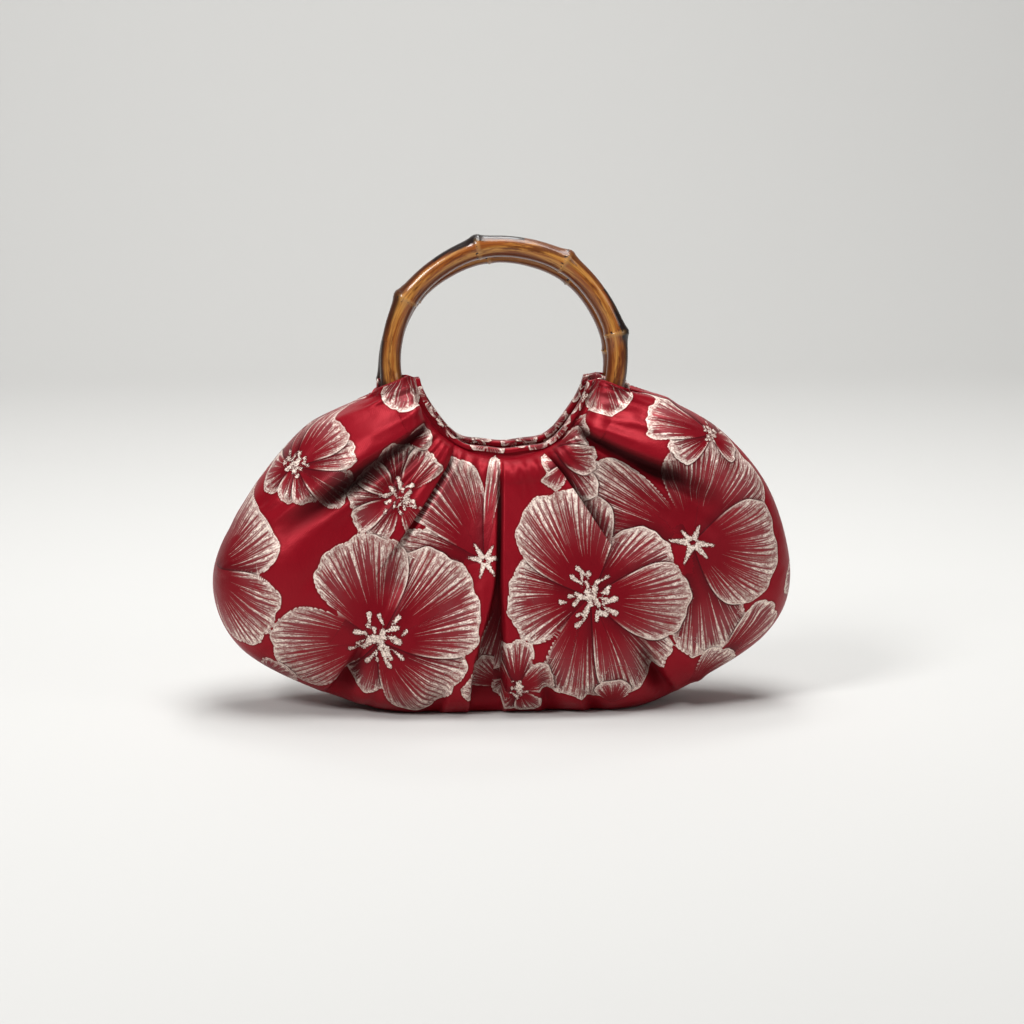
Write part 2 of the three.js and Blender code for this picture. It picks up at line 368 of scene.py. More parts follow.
def tunnel(r, angle, drop, clear):
    off = r - ring["radius"] - drop * np.cos(angle)
    return np.sqrt(np.maximum(0, (ring["tube"] + ring["knotTall"] + clear) ** 2 - off * off))


def sideAngle(mouth, own):
    end = ends["from"]
    drawn = end + (mouth - end) * (own["left"] - end) / (ends["left"] - end)
    return np.radians(np.where(mouth < end, drawn, mouth))


def drape(u, t, own):
    # smooth outside of a panel: columns u by rows t, and u may change down a column
    u = np.broadcast_to(u if np.ndim(u) == 2 else np.asarray(u)[:, None], (len(u), len(t)))
    s = sectionsAt(u)
    drop = own["drop"]
    angle = sideAngle(s["mouth"], own)
    lift = cloth["wall"] + cloth["gap"] / 2
    start = onRing(roundCorner(angle, casing["flat"]), casing["flat"], lift)
    tab = onRing(angle * ends["slant"], casing["tab"], cloth["gap"] + casing["tabLift"])
    seam = np.stack([s["x"], np.full_like(u, -cloth["seam"] / 2), s["z"]], -1)
    seam += np.clip(s["apart"], 0, 1)[..., None] * (tab - seam)
    along = seam - start
    along -= (along @ ringAhead)[..., None] * ringAhead
    along /= np.linalg.norm(along, axis=-1)[..., None]
    first = start + s["lead"][..., None] * along + s["swell"][..., None] * ringAhead
    last = seam + np.stack([0 * u, -s["full"], -s["sag"]], -1)
    k = np.clip(t, 0, 1)[None, :, None]
    p = (1 - k) ** 3 * start + 3 * k * (1 - k) ** 2 * first + 3 * k * k * (1 - k) * last + k ** 3 * seam
    rel = p - ringMiddle
    low = rel @ ringUp
    n = rel @ ringAhead
    turn = np.arctan2(rel[..., 0], -low)
    far = np.hypot(rel[..., 0], low)
    need = tunnel(far, turn, drop, casing["clear"] + cloth["wall"])
    below = np.maximum(0, far - ring["radius"] - drop * np.cos(turn))
    most = ring["tube"] + ring["knotTall"] + casing["clear"] + cloth["wall"]
    skirt = most * bell(below / casing["skirt"]) * (1 - smoothStep(*casing["skirtEnds"], t))
    need = np.where(below > 0, np.maximum(need, skirt), need)  # the cloth leaves the ring in an easy curve
    soft = casing["soft"] + casing["softer"] * smoothStep(0, casing["softBy"], below)
    push = np.where(need > 0.1, (need - n + np.hypot(need - n, soft)) / 2, 0)
    p = p + push[..., None] * ringAhead
    edge = mouthRadius(angle) + band["lap"]
    r = casing["flat"] + np.minimum(t, 0) * (casing["flat"] - edge)
    strip = onRing(roundCorner(angle, r), r, lift)
    p = np.where((t < 0)[None, :, None], strip, p)
    p[..., 2] = np.maximum(0, p[..., 2])
    return p


fineU = np.linspace(-1, 1, 2001)
mouthOfU = sectionsAt(fineU)["mouth"]


def atMouth(angle):
    return float(np.interp(angle, mouthOfU, fineU))


for fold in pleats + tucks + gathers + puffs:
    fold["u"] = atMouth(fold["mouth"])
leanAt = [-1] + [p["u"] for p in pleats] + [1]
leanBy = [0] + [atMouth(p["mouth"] + p["lean"]) - p["u"] for p in pleats] + [0]


def leaning(u, t):
    # where a column that leaves the mouth at u runs further down
    shift = np.interp(u, leanAt, leanBy)[:, None] * np.clip(t / cloth["leans"], 0, 1)
    return np.asarray(u)[:, None] + shift


def panelColumns():
    edges = drape(fineU, np.array([0.0, 1.0]), sides["front"])
    step = np.linalg.norm(np.diff(edges, axis=0), axis=2)
    walked = np.concatenate([[0], np.cumsum(2 * step[:, 0] + step[:, 1])])
    u = np.interp(np.linspace(0, walked[-1], panelGrid["across"] + 1), walked, fineU)
    fold = np.full(len(u), -1)
    for i, pleat in enumerate(pleats):
        far = np.abs(u - pleat["u"]) > panelGrid["clear"]
        u, fold = u[far], fold[far]
        u = np.concatenate([u, pleat["u"] + np.arange(-2, 3) * panelGrid["crease"]])
        fold = np.concatenate([fold, np.full(5, i)])
    order = np.argsort(u, kind="stable")
    return u[order], fold[order]


def spreadAt(u, t, own):
    # millimetres of cloth to one step of u, down the column at u
    h = 0.01
    v = leaning(np.array([u]), t)
    beside = drape(np.concatenate([v - h, v + h]), np.maximum(t, 0), own)
    return np.linalg.norm(beside[1] - beside[0], axis=1) / (2 * h)


def foldCloth(u, t, fold, own):
    # how far each point lifts off the smooth shape and slides across it
    lift = np.zeros((len(u), len(t)))
    slide = np.zeros_like(lift)
    deep = np.zeros_like(lift)  # painted shade in the hollows and under the lips of the folds
    bay = np.zeros_like(lift)  # inside of the slit where it stands open
    free = smoothStep(*cloth["sinks"], t)  # cloth only sinks where it is clear of the ring
    for i, p in enumerate(pleats):
        fade = smoothStep(0, 0.1, t) * (1 - smoothStep(p["reach"] * 0.45, p["reach"], t))
        spread = spreadAt(p["u"], t, own)
        across = (u - p["u"])[:, None] * spread[None, :]
        crease = np.flatnonzero(fold == i)
        if p["rise"]:
            x = across * p["side"] * (np.interp(0.35, t, spread) / spread)[None, :] ** 0.8
            roll = smoothStep(-0.35 * p["rise"], p["rise"], x) * (1 - smoothStep(p["rise"], p["width"], x))
            hollow = bell((x + 0.3 * p["rise"]) / (0.75 * p["rise"]))
            ridge = bell((x + 1.1 * p["rise"]) / (0.5 * p["rise"]))
            lift += (p["depth"] * roll + p["crest"] * ridge) * fade - p["dip"] * hollow * fade * free
            # painted shadow under the raised roll
            under = smoothStep(9.0, 1.0, x) * (1 - smoothStep(1, 8, -x))
            fade = smoothStep(-0.02, 0.06, t) * (1 - smoothStep(0.6 * p["reach"], p["reach"], t))
            deep = np.maximum(deep, under * fade)
        elif p["side"]:
            x = across * p["side"]
            bend = 1 - np.clip((x + 1.5) / 6, 0, 1)
            lip = np.where(x > 0, np.clip(1 - x / p["width"], 0, 1) ** 1.5 * np.sqrt(1 - bend * bend), 0)
            roll = np.where(x > 0, -p["overlap"] * np.exp(-np.maximum(x, 0) / 5), 0)
            sunk = np.where(x < 0, bell(x / 6), 0) * p["dip"] * free
            sunk -= np.where(x < 0, smoothStep(1.8, 6.5, -x) * bell(x / 16), 0) * p["crest"]
            wide = p["dip"] * (1 + 2.5 * smoothStep(0.6 * p["reach"], p["reach"], t))
            # painted shadow beside the lip, widening down the fold
            under = np.where(x < 0, bell(x / wide), 0)
            for c, (up, over) in zip(crease[::p["side"]], lipSteps):
                lip[c] = up
                roll[c] = over * p["overlap"]
                sunk[c] = p["dip"] * free * (1 - min(1, up / 0.4))
                under[c] = 1 - up
            lift += (p["depth"] * lip - sunk) * fade
            slide += roll * fade * p["side"]
            deep = np.maximum(deep, under * fade)
        else:
            opened = smoothStep(*slit["opens"], t)
            half = slit["half"] + np.where(across < 0, slit["left"], slit["right"]) * opened
            x = np.abs(across) - half
            shut = free * (1 - smoothStep(*slit["shuts"], t))
            lip = np.clip(1 - np.maximum(x, 0) / p["width"], 0, 1) ** 2
            inSlit = 1 - smoothStep(-0.9, 0.5, x)
            lift += p["depth"] * lip * fade * (1 - inSlit)
            lift -= (slit["deep"] + slit["deeper"] * opened) * inSlit * shut
            bay = np.maximum(bay, inSlit * opened)
            # painted shade down the closed part of the slit
            deep = np.maximum(deep, inSlit * smoothStep(0.05, 0.16, t) * (1 - opened))
    for k in tucks:
        across = (leaning(u, t) - k["u"]) * spreadAt(k["u"], t, own)
        wide = np.where(across < 0, k["near"], k["far"])
        fade = smoothStep(k["from"], k["most"], t) * (1 - smoothStep(k["most"], k["until"], t))
        lift -= k["depth"] * bell(across / wide) * fade
    for g in gathers:
        across = (u - g["u"])[:, None] * spreadAt(g["u"], t, own)[None, :]
        fade = smoothStep(0, 0.05, t) * (1 - smoothStep(g["reach"] * 0.3, g["reach"], t))
        lift += g["height"] * bell(across / g["width"]) * fade
    for f in puffs + wrinkles:
        across = (leaning(u, t) - f["u"]) * spreadAt(f["u"], t, own)
        along = (t - f["down"]) / f["along"]
        bulge = f["height"] * np.exp(-((across / f["across"]) ** 2) - along * along)
        lift += bulge * smoothStep(0, 0.06, t) * (1 if f["height"] > 0 else free)
    return lift, slide, deep, bay


def spreadOut(values, reach):
    # mean of the neighbours within reach, along each way of the grid
    window = 2 * reach + 1
    for axis in (0, 1):
        border = [(reach, reach) if k == axis else (0, 0) for k in (0, 1)]
        total = np.cumsum(np.pad(values, border, mode="edge"), axis=axis)
        total = np.insert(total, 0, 0, axis=axis)
        first = np.arange(values.shape[axis])
        values = (np.take(total, first + window, axis) - np.take(total, first, axis)) / window
    return values


def panelShape(own):
    u, fold = panelColumns()
    strip = np.linspace(-1, 0, panelGrid["strip"], endpoint=False)
    t = np.concatenate([strip, np.linspace(0, 1, panelGrid["down"])])
    v = leaning(u, t)
    base = drape(v, t, own)
    h = 2e-3
    across = drape(np.minimum(1, v + h), t, own) - drape(np.maximum(-1, v - h), t, own)
    down = drape(v, np.minimum(1, t + h), own) - drape(v, np.maximum(-1, t - h), own)
    normal = np.cross(down, across)
    normal /= np.linalg.norm(normal, axis=2)[..., None]
    across /= np.linalg.norm(across, axis=2)[..., None]
    lift, slide, deep, bay = foldCloth(u, t, fold, own)
    outer = base + lift[..., None] * normal + slide[..., None] * across
    outer[..., 2] = np.maximum(0, outer[..., 2])
    keep = panelGrid["keep"]  # columns over which the inside keeps clear of each fold
    least = np.min([np.roll(lift, k, 0) for k in range(-keep, keep + 1)], 0)
    inner = base + (np.minimum(least, 0.75 * lift) - cloth["wall"])[..., None] * normal
    # painted shade: cloth lying lower than its neighbours is painted darker, as shade falls there
    near, far = (spreadOut(lift, paintedShade[reach]) - lift for reach in ("near", "far"))
    sunk = np.maximum(near, paintedShade["farShare"] * far)
    shade = smoothStep(*paintedShade["sunk"], sunk) * smoothStep(*paintedShade["top"], t)
    shade *= 1 - paintedShade["footLess"] * smoothStep(*paintedShade["foot"], t)  # less painted shade in the tucks at the foot, which are shallow
    # the painted shade under the rolls and lips joins it, and less of it is painted inside the open slit
    shade = np.maximum(shade, deep) * (1 - slit["lit"] * bay)
    step = np.linalg.norm(np.diff(base, axis=1), axis=2)
    length = np.concatenate([np.zeros((len(u), 1)), np.cumsum(step, 1)], 1)
    heading = base[:, -1] - base[:, 0]
    heading = heading[:, [0, 2]] / np.linalg.norm(heading[:, [0, 2]], axis=1)[:, None]
    flat = base[:, :1, [0, 2]] + length[..., None] * heading[:, None]  # each section laid out straight
    mouth = np.broadcast_to(sectionsAt(u)["mouth"][:, None], lift.shape)
    return {
        "u": u, "t": t, "fold": fold, "outer": outer, "inner": inner,
        "flat": flat, "mouth": mouth, "normal": normal, "shade": shade,
    }


def zipEdges(fine, coarse):
    faces = []
    i = j = 0
    while i < len(fine) - 1 or j < len(coarse) - 1:
        ahead = (i + 1) * (len(coarse) - 1) <= (j + 1) * (len(fine) - 1)
        if j == len(coarse) - 1 or (i < len(fine) - 1 and ahead):
            faces.append((fine[i], fine[i + 1], coarse[j]))
            i += 1
        else:
            faces.append((fine[i], coarse[j + 1], coarse[j]))
            j += 1
    return faces


def gridFaces(index):
    a, b, c, d = index[:-1, :-1], index[1:, :-1], index[1:, 1:], index[:-1, 1:]
    return np.stack([a, b, c, d], -1).reshape(-1, 4).tolist()


def addMesh(name, points, faces, marks):
    mesh = bpy.data.meshes.new(name)
    mesh.from_pydata((np.asarray(points) * mm).tolist(), [], faces)
    work = bmesh.new()
    work.from_mesh(mesh)
    bmesh.ops.recalc_face_normals(work, faces=work.faces)
    work.to_mesh(mesh)
    work.free()
    shadeSmooth(mesh)
    setMarks(mesh, marks)
    return addObject(name, mesh)


# Flowers woven into the brocade

petalColumns = ["angle", "length", "spread"]
flowerColumns = ["x", "z", "eye", "size", "gore", "petals"]
anyGore = (-90, 90, 0)  # mouth angles between which a flower shows, and how far down folds cut it off
flowerRows = [
    (-153, 74, "none", 0, anyGore, [(49, 45, 45), (-36, 42, 46)]),
    (-107, 130, "cluster", 7.5, (-90, -46, 0.5), [
        (160, 25, 40), (100, 20, 30), (205, 22, 30), (255, 19, 28),
        (-70, 20, 26), (-30, 30, 28), (8, 29, 22), (46, 30, 32)]),
    (-55, 114, "round", 9.5, (-56, -31.3, 0.42), [
        (85, 27, 35), (50, 28, 25), (180, 24, 30), (140, 22, 28),
        (238, 23, 28), (-55, 22, 28), (205, 25, 20)]),
    (-12, 82, "star", 10, (-31.3, -3, 0.6), [(165, 44, 18), (116, 55, 30), (84, 54, 7)]),
    (-66, 42, "cluster", 16, (-60, -3, 0.85), [
        (-115, 30, 35), (-45, 47, 42), (185, 52, 38), (28, 54, 46), (103, 51, 39)]),
    (94, 90, "star", 11, (22, 90, 0.5), [(-75, 56, 28), (150, 62, 30), (65, 54, 47), (-15, 47, 50)]),
    (42, 63, "cluster", 16, (-3, 90, 0.85), [
        (183, 43, 40), (-103, 52, 30), (-48, 53, 32), (40, 44, 34), (-8, 48, 33), (114, 53, 42)]),
    (106, 143, "cluster", 5, (44, 90, 0.5), [
        (20, 20, 30), (-40, 18, 30), (130, 30, 20), (205, 24, 28), (165, 34, 25)]),
    (-49, 186, "none", 0, (-90, -60, 0), [(-92, 26, 37)]),
    (50, 178, "none", 0, (60, 90, 0), [(-90, 21, 56)]),
    (33, 147, "none", 0, (22, 90, 0), [(-5, 13, 45)]),
    (26, 141, "none", 0, (22, 90, 0), [(-15, 13, 45)]),
    (-50, 142, "none", 0, (-90, -31.3, 0), [(15, 13, 40)]),
    (24, 137, "none", 0, (22, 60, 0.5), [(30, 18, 30), (-50, 30, 25), (-20, 22, 30)]),
    (30, 129, "none", 0, (-3, 22, 0.5), [(190, 12, 40), (235, 16, 30)]),
    (108, 23, "none", 0, anyGore, [(48, 42, 22)]),
    (95, 12, "none", 0, anyGore, [(42, 28, 40)]),
    (160, 64, "none", 0, anyGore, [(180, 17, 44)]),
    (5, 15, "cluster", 6, anyGore, [
        (100, 25, 36), (165, 23, 36), (30, 20, 36), (240, 17, 36), (300, 18, 36)]),
    (0, 72, "none", 0, (-6, -2.2, 1), [(-98, 48, 16)]),
    (54, 6, "none", 0, anyGore, [(90, 14, 60)]),
    (-124, 15, "none", 0, anyGore, [(50, 20, 48)]),
    (1, 6, "none", 0, (-40, -3, 1), [(140, 28, 38)]),
]
flowers = [dict(zip(flowerColumns, row)) for row in flowerRows]
thread = {
    "pitch": 2.7, "growth": 1.05, "broad": 1.12, "square": 4.0, "round": 0.42, "ruffle": 0.02, "far": 60.0,
    "taper": 0.8, "sides": 90, "strandArc": 0.75, "strandShift": 0.37, "unsure": 1.6,
}
starArms = [125, 62, 5, -55, -118, 175]


def segmentDistance(x, y, a, b, width, taper=0.0):
    dx, dy = b[0] - a[0], b[1] - a[1]
    k = np.clip(((x - a[0]) * dx + (y - a[1]) * dy) / (dx * dx + dy * dy + 1e-9), 0, 1)
    return width * (1 - taper * k) - np.hypot(x - a[0] - k * dx, y - a[1] - k * dy)


def eyeDistance(kind, x, y, size, seed):
    # inside distance of the stamens in a flower's eye
    pick = np.random.default_rng(seed)
    best = np.full(x.shape, -thread["far"])
    if kind == "star":
        best = segmentDistance(x, y, (0, 0), (0.01, 0), 0.24 * size)
        turns = np.radians(starArms) + pick.uniform(-0.2, 0.2, len(starArms))
        for turn, far in zip(turns, pick.uniform(0.7, 1.1, len(starArms))):
            tip = (far * size * math.cos(turn), far * size * math.sin(turn))
            best = np.maximum(best, segmentDistance(x, y, (0, 0), tip, 0.17 * size, 0.8))
        return np.minimum(best, np.hypot(x / 1.3, y) - 0.13 * size)
    if kind in ("cluster", "round"):
        count = int(9 + 1.3 * size)
        for i in range(count):
            turn = 2.4 * i + pick.uniform(-0.25, 0.25)
            far = size * ((i + 0.5) / count) ** 0.55 * pick.uniform(0.85, 1.1)
            if kind == "round":
                far = max(far, 0.5 * size)
            long = 0.34 * size * pick.uniform(0.3, 1.5)
            wide = (0.35 + 0.032 * size) * pick.uniform(0.7, 1.4)
            tilt = turn + pick.uniform(-0.5, 0.5)
            a = (far * math.cos(turn), far * math.sin(turn))
            b = (a[0] - long * math.cos(tilt), a[1] - long * math.sin(tilt))
            best = np.maximum(best, segmentDistance(x, y, a, b, 1.2 * wide, 0.75))
    return best


def petalShape(petal, seed):
    p = dict(zip(petalColumns, petal))
    pick = np.random.default_rng(seed)
    p["length"] *= thread["growth"]
    p["spread"] = min(math.radians(p["spread"]) * thread["broad"], 1.5)
    p["angle"] = math.radians(p["angle"])
    p["phase"], p["beat"] = pick.uniform(0, 6.28, 3), pick.uniform(4.5, 7.5)
    p["bend"], p["seed"] = pick.uniform(-0.12, 0.12), pick.uniform(0, 1)
    return p


def petalReach(p, angle):
    tau = np.clip(angle / p["spread"], -1, 1)
    wave = np.sin(p["beat"] * tau + p["phase"][0]) + 0.7 * np.sin(2.1 * p["beat"] * tau + p["phase"][1])
    wave += 0.4 * np.sin(4.3 * p["beat"] * tau + p["phase"][2])
    scallop = 1 + thread["ruffle"] * wave
    return p["length"] * (1 - np.abs(tau) ** thread["square"]) ** thread["round"] * scallop


def petalInside(p, x, y):
    # distance inside the petal's outline, angle from its axis, and its reach along that angle
    r = np.hypot(x, y)
    phi = np.arctan2(y, x) - p["angle"] - p["bend"] * r / p["length"]
    phi = np.mod(phi + math.pi, 2 * math.pi) - math.pi
    reach = petalReach(p, phi)
    turn = p["spread"] * np.sin(np.linspace(-1, 1, 400) * math.pi / 2)
    far = petalReach(p, turn)
    turn = turn + p["angle"] + p["bend"] * far / p["length"]
    outline = np.stack([far * np.cos(turn), far * np.sin(turn)], -1)
    walk = np.concatenate([[0], np.cumsum(np.linalg.norm(np.diff(outline, axis=0), axis=1))])
    even = np.linspace(0, walk[-1], thread["sides"])
    outline = np.stack([np.interp(even, walk, outline[:, 0]), np.interp(even, walk, outline[:, 1])], -1)
    best = np.full(x.shape, 1e9)
    hit = np.zeros(x.shape, bool)
    for a, b in zip(outline, np.roll(outline, -1, 0)):
        best = np.minimum(best, -segmentDistance(x, y, a, b, 0))
        cross = (a[1] > y) != (b[1] > y)
        hit ^= cross & (x < a[0] + (y - a[1]) * (b[0] - a[0]) / (b[1] - a[1] + 1e-9))
    return np.where(hit, best, -best), phi, reach, r


def stampFlowers(flat, middles, gores, flowers):
    # petal, edge and eye marks for every point of a cloth laid flat
    n = len(flat)
    bloom = np.zeros((n, 3))
    rim = np.full(n, -thread["far"])
    later = np.full(n, -thread["far"])  # to petals that lie above
    eye = np.full(n, -thread["far"])
    outward = np.zeros(n)
    covered = np.zeros(n, bool)
    for f, (flower, middle) in enumerate(zip(flowers, middles)):
        low, high, end = flower["gore"]
        reach = 1.2 * max(length for _, length, _ in flower["petals"]) + 6
        away = flat - middle
        own = (gores[:, 0] >= low) & (gores[:, 0] <= high) | (gores[:, 1] > end)
        near = np.flatnonzero((np.hypot(*away.T) < reach) & own)
        x, y = away[near].T
        for k, petal in enumerate(flower["petals"]):
            p = petalShape(petal, 100 * f + k)
            inside, phi, far, r = petalInside(p, x, y)
            hit = inside > 0
            top = near[hit]
            outward[top] = r[hit] / p["length"]
            bloom[top, 0] = np.minimum((r / np.maximum(far, 1))[hit], outward[top] / thread["taper"])
            strand = phi[hit] * thread["strandArc"] * p["length"] / thread["pitch"]
            bloom[top, 1] = strand + thread["strandShift"] * k
            bloom[top, 2] = p["seed"]
            rim[top] = inside[hit]
            later[top] = -thread["far"]
            eye[top] = -thread["far"]
            under = covered[near] & ~hit
            later[near[under]] = np.maximum(later[near[under]], inside[under])
            bare = ~covered[near] & ~hit
            rim[near[bare]] = np.maximum(rim[near[bare]], inside[bare])
            covered[top] = True
        if flower["eye"] != "none":
            stamens = eyeDistance(flower["eye"], x, y, flower["size"], 500 + f)
            eye[near] = np.maximum(eye[near], stamens)
    over = np.where(np.abs(later) < np.abs(rim), later, rim)
    between = np.abs(np.abs(later) - np.abs(rim))
    unsure = 1 - np.clip(between / thread["unsure"], 0, 1)  # as near to one edge as to another
    return {
        "bloom": bloom, "edge": np.stack([rim, over, eye], -1),
        # the fold mark's first part is painted shade, left at none here and filled in for the panels
        "cloth": np.column_stack([flat, gores[:, 0]]), "fold": np.stack([0 * rim, unsure, outward], -1),
    }


def findMiddles(shape, flowers):
    # a flower's middle is charted as seen from the front, and found on the cloth
    front = shape["outer"].reshape(-1, 3)
    flat = shape["flat"].reshape(-1, 2)
    found = []
    for flower in flowers:
        d = np.hypot(front[:, 0] - flower["x"], front[:, 2] - flower["z"])
        close = np.flatnonzero(d < d.min() + 2)
        best = close[np.argmin(front[close, 1])]
        found.append(flat[best] + [flower["x"], flower["z"]] - front[best, [0, 2]])
    return found


def mirrored(flowers):
    turned = []
    for flower in flowers:
        petals = [(180 - angle, length, spread) for angle, length, spread in flower["petals"]]
        turned.append({**flower, "x": -flower["x"], "gore": anyGore, "petals": petals})
    return turned


# Brocade: red satin with champagne thread

brocade = {
    "ground": (0.27, 0.004, 0.012, 1), "facingGround": (0.24, 0.004, 0.010, 1),
    "rose": (0.235, 0.056, 0.062, 1),
    "threadLight": (1.0, 0.87, 0.765, 1),
    "threadDeep": (0.27, 0.135, 0.11, 1),
    "outline": (0.06, 0.002, 0.005, 1),
    # painted shade colours, laid into folds and creases, and into their deepest part
    "fold": (0.055, 0.002, 0.004, 1),
    "depth": (0.010, 0.001, 0.001, 1),
    "lineStart": 0.32, "lineEnd": 0.86,  # where strands begin, along a petal
    "fineStart": 0.36, "fineEnd": 0.9,
    "strandPower": 1.4, "strandFull": 0.84,  # how strands broaden towards the rim
    # the last two amounts set how strongly painted shade is laid into the folds and into their deepest part
    "wash": 0.85, "heart": 0.3, "under": 0.5, "rimLine": 0.75, "foldShadeMix": 0.9, "deepShadeMix": 0.5,
    "sheen": 0.3, "specular": 0.15,
    "weave": 0.035, "relief": 0.16, "nap": 0.10, "slack": 1.2,  # heights in mm
}


def threadGroup():
    colour, number = "NodeSocketColor", "NodeSocketFloat"
    net, given, out = newGroup("wovenFlowers", "ShaderNodeTree", [
        ("Ground", colour, brocade["ground"]), ("Rose", colour, brocade["rose"]),
        ("Thread Light", colour, brocade["threadLight"]), ("Thread Deep", colour, brocade["threadDeep"]),
        # the fold and depth colours are painted shade
        ("Outline", colour, brocade["outline"]), ("Fold", colour, brocade["fold"]),
        ("Depth", colour, brocade["depth"]),
        ("Line Start", number, brocade["lineStart"]), ("Line End", number, brocade["lineEnd"]),
    ], [("Color", colour), ("Roughness", number), ("Metallic", number), ("Height", number)])
    _, (s, line, seed) = net.mark("bloom")
    _, (rim, over, eye) = net.mark("edge")
    place, _ = net.mark("cloth")
    # the fold mark's first part is how much painted shade a point gets in folds and creases
    _, (fold, unsure, outward) = net.mark("fold")
    sure = net.minus(1.0, unsure)
    clear = net.ease(outward, 0.3, 0.55)  # thread stops short of the flower's eye
    onTop = net.calc("GREATER_THAN", over, 0.0)
    lower = net.minus(net.calc("MINIMUM", rim, over), rim)
    inset = net.scaled(onTop, lower, rim)  # inside distance, also where petals overlap
    inside = net.ease(rim, -0.1, 0.15)
    speck = net.ease(net.grain(place, 1.15, 2.0, 0.6), 0.41, 0.58)
    wide = net.grain(place, 0.12, 2.0)
    strandPlace = net.triple(net.times(line, 3.2), net.times(s, 16.0), net.times(seed, 50.0))
    dash = net.ease(net.grain(strandPlace, 1.0, 3.0, 0.6), 0.40, 0.60)
    dash = net.scaled(dash, 0.65, net.times(speck, 0.35))  # strands break up along their run

    def hatch(count, shift, startLow, startHigh):
        x = net.scaled(line, count, shift)
        key = net.triple(net.calc("FLOOR", x), net.calc("FLOOR", net.times(seed, 500.0)))
        chance = net.add("ShaderNodeTexWhiteNoise", {"Vector": key}, noise_dimensions="2D").outputs
        start = net.ease(chance["Value"], 0.0, 1.0, startLow, startHigh)
        run = net.calc("DIVIDE", net.minus(s, start), net.minus(1.02, start), clamp=True)
        duty = net.times(net.calc("POWER", run, brocade["strandPower"]), brocade["strandFull"])
        off = net.times(net.calc("ABSOLUTE", net.minus(net.calc("FRACT", x), 0.5)), 2.0)
        shown = net.ease(net.minus(duty, off), -0.2, 0.2)
        return net.times(shown, net.ease(run, 0.0, 0.06)), chance["Color"]

    broad, tint = hatch(1.0, 0.0, given["Line Start"], given["Line End"])
    fine, _ = hatch(2.3, 0.4, brocade["fineStart"], brocade["fineEnd"])
    lines = net.calc("MAXIMUM", broad, net.times(fine, 0.6))
    outer = net.ease(s, 0.5, 0.92)
    edge = net.times(net.ease(inset, 1.0, 0.5), clear, sure)
    hemWide = net.scaled(outer, 2.6, 0.3)
    hem = net.times(net.ease(net.calc("DIVIDE", inset, hemWide), 1.0, 0.55), outer, clear)
    hem = net.calc("MAXIMUM", edge, net.times(hem, 0.85))
    cover = net.times(net.calc("MAXIMUM", lines, hem), net.scaled(dash, 0.7, 0.3))
    cover = net.times(net.calc("MAXIMUM", cover, net.times(edge, 0.85)), inside)
    strandTint = net.add("ShaderNodeSeparateColor", {0: tint}).outputs[1]
    bright = net.scaled(strandTint, 0.6, net.times(s, 0.45))
    bright = net.calc("MAXIMUM", bright, net.times(hem, 0.85))
    # painted sheen: broad patches of brighter and darker thread stand in for light catching the metal
    # thread
    bright = net.times(bright, net.scaled(dash, 0.75, 0.5), net.ease(wide, 0.3, 0.65, 0.75, 1.25))
    bright = net.times(bright, net.scaled(seed, 0.4, 0.85))  # painted sheen: no two petals are equally bright, as the metal thread catches light differently on each
    strand = net.mix(bright, given["Thread Deep"], given["Thread Light"])
    wash = net.times(net.ease(s, 0.35, 0.9), inside, brocade["wash"])
    wash = net.times(wash, net.ease(wide, 0.25, 0.6, 0.45, 1.0))
    base = net.mix(wash, given["Ground"], given["Rose"])
    heart = net.times(net.ease(s, 0.8, 0.3), inside, brocade["heart"])
    base = net.mix(heart, base, given["Outline"])
    beneath = net.calc("LESS_THAN", over, 0.0)
    under = net.times(net.ease(over, -7.0, 0.0), inside, beneath, brocade["under"])
    base = net.mix(under, base, given["Outline"])
    tone = net.mix(cover, base, strand)
    aroundRim = net.times(net.ease(rim, -1.2, -0.4), net.ease(rim, 0.1, -0.15), 0.4)
    aroundTop = net.times(net.ease(over, -1.2, -0.35), net.ease(over, 0.1, -0.15), inside, sure)
    dark = net.calc("MAXIMUM", aroundRim, aroundTop)  # line round each petal, also on another petal
    tone = net.mix(net.times(dark, brocade["rimLine"]), tone, given["Outline"])
    ragged = net.grain(place, 1.3, 4.0, 0.65)
    eye = net.scaled(ragged, 2.9, net.minus(eye, 1.4))
    stamen = net.ease(eye, -0.12, 0.15)
    tone = net.mix(net.times(net.ease(eye, -1.0, -0.2), 0.5), tone, given["Outline"])
    pollen = net.mix(net.scaled(speck, 0.6, 0.3), given["Thread Deep"], given["Thread Light"])
    tone = net.mix(stamen, tone, pollen)
    woven = net.calc("MAXIMUM", cover, stamen)
    # painted shade: folds, creases and hollows are painted darker, darkest where deepest
    tone = net.mix(net.times(fold, brocade["foldShadeMix"]), tone, given["Fold"])
    deepestShade = net.times(net.ease(fold, 0.75, 1.0), brocade["deepShadeMix"])
    net.feed(out["Color"], net.mix(deepestShade, tone, given["Depth"]))
    # the painted shade also makes the cloth rougher and less metallic there
    dull = net.scaled(fold, 0.5, net.scaled(wide, 0.12, 0.34))
    net.feed(out["Roughness"], net.calc("MULTIPLY_ADD", woven, 0.12, dull, clamp=True))
    net.feed(out["Metallic"], net.times(net.minus(1.0, fold), brocade["sheen"]))
    warp = net.add("ShaderNodeTexWave", {"Vector": place, "Scale": 0.55}, wave_type="BANDS",
                   bands_direction="DIAGONAL").outputs["Fac"]
    height = net.calc("ADD", net.times(warp, brocade["weave"]), net.times(woven, brocade["relief"]))
    height = net.scaled(net.grain(place, 0.9, 3.0), brocade["nap"], height)
    height = net.scaled(net.grain(place, 0.06, 2.0), brocade["slack"], height)
    net.feed(out["Height"], net.minus(height, net.times(dark, 0.1)))
    return net.tree


flowersGroup = threadGroup()


